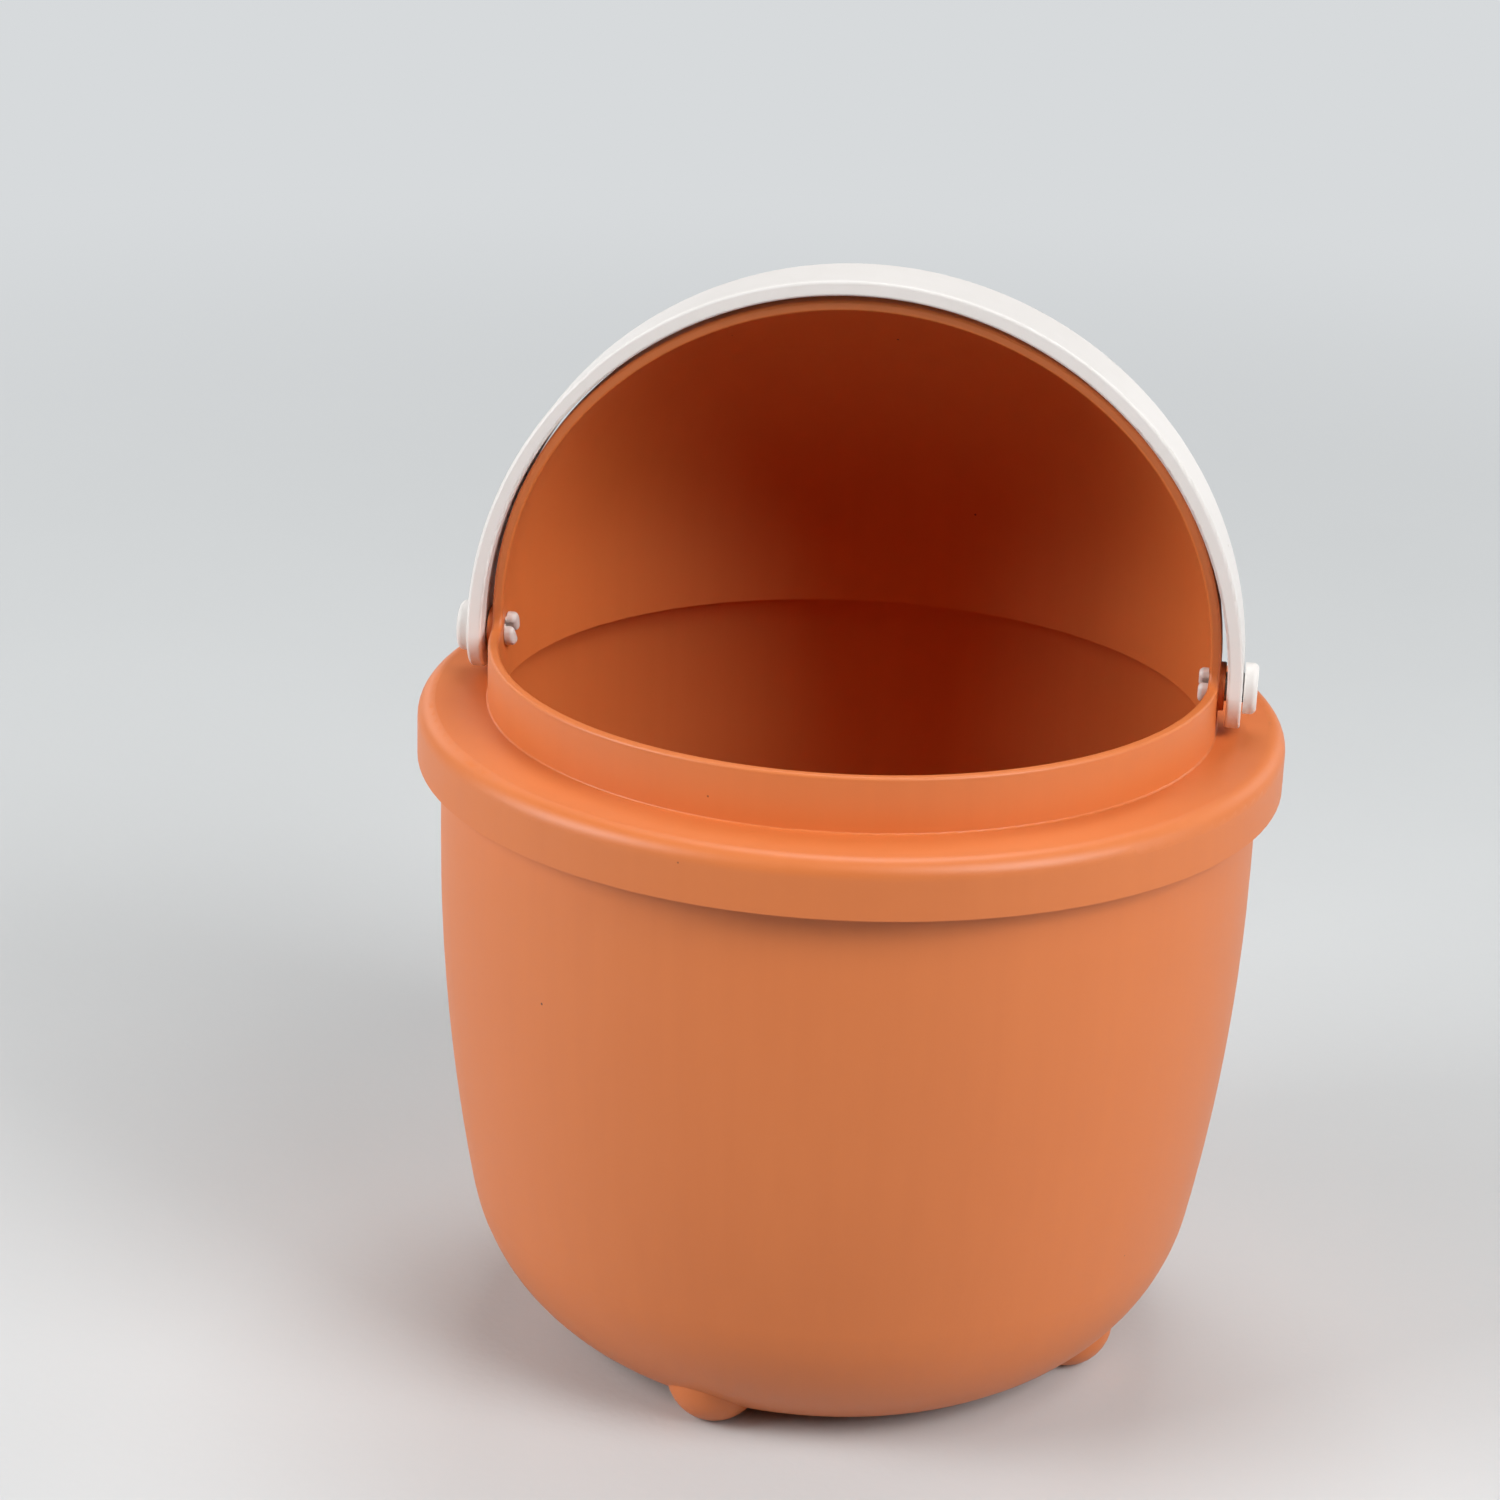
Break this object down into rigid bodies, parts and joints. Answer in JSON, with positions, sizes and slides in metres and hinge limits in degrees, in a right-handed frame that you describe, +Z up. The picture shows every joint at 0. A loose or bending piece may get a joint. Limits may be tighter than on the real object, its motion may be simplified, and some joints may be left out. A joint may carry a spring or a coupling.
{
  "type": "mini trash can",
  "caption": "Small round trash can: tapered bucket on domed feet, lift-off lid with a dome hood over the back of its mouth, strap handle on snap pins.",
  "frame": {"origin": "on the floor under the middle of the bucket, at the level of its foot pads", "axes": "+Z up along the bucket's axis; the lid's open mouth faces -Y; +X runs along the handle's pivot towards the right-hand pin as seen from the front"},
  "size_m": [0.15, 0.15, 0.1923],
  "materials": {
    "orange_plastic": "satin moulded polypropylene",
    "white_plastic": "satin moulded polypropylene"
  },
  "bodies": {
    "bucket": {"bucket": "orange_plastic"},
    "lid": {"lid": "orange_plastic", "pin_left": "white_plastic", "pin_right": "white_plastic"},
    "handle": {"handle": "white_plastic"}
  },
  "joints": [
    {"name": "lid_lift", "type": "slide", "parent": "bucket", "child": "lid", "axis": [0, 0, 1], "range_m": [0, 0.06]},
    {"name": "handle_swing", "type": "hinge", "parent": "lid", "child": "handle", "pos_m": [0, 0, 0.1249], "axis": [1, 0, 0], "range_deg": [-90, 90]}
  ]
}
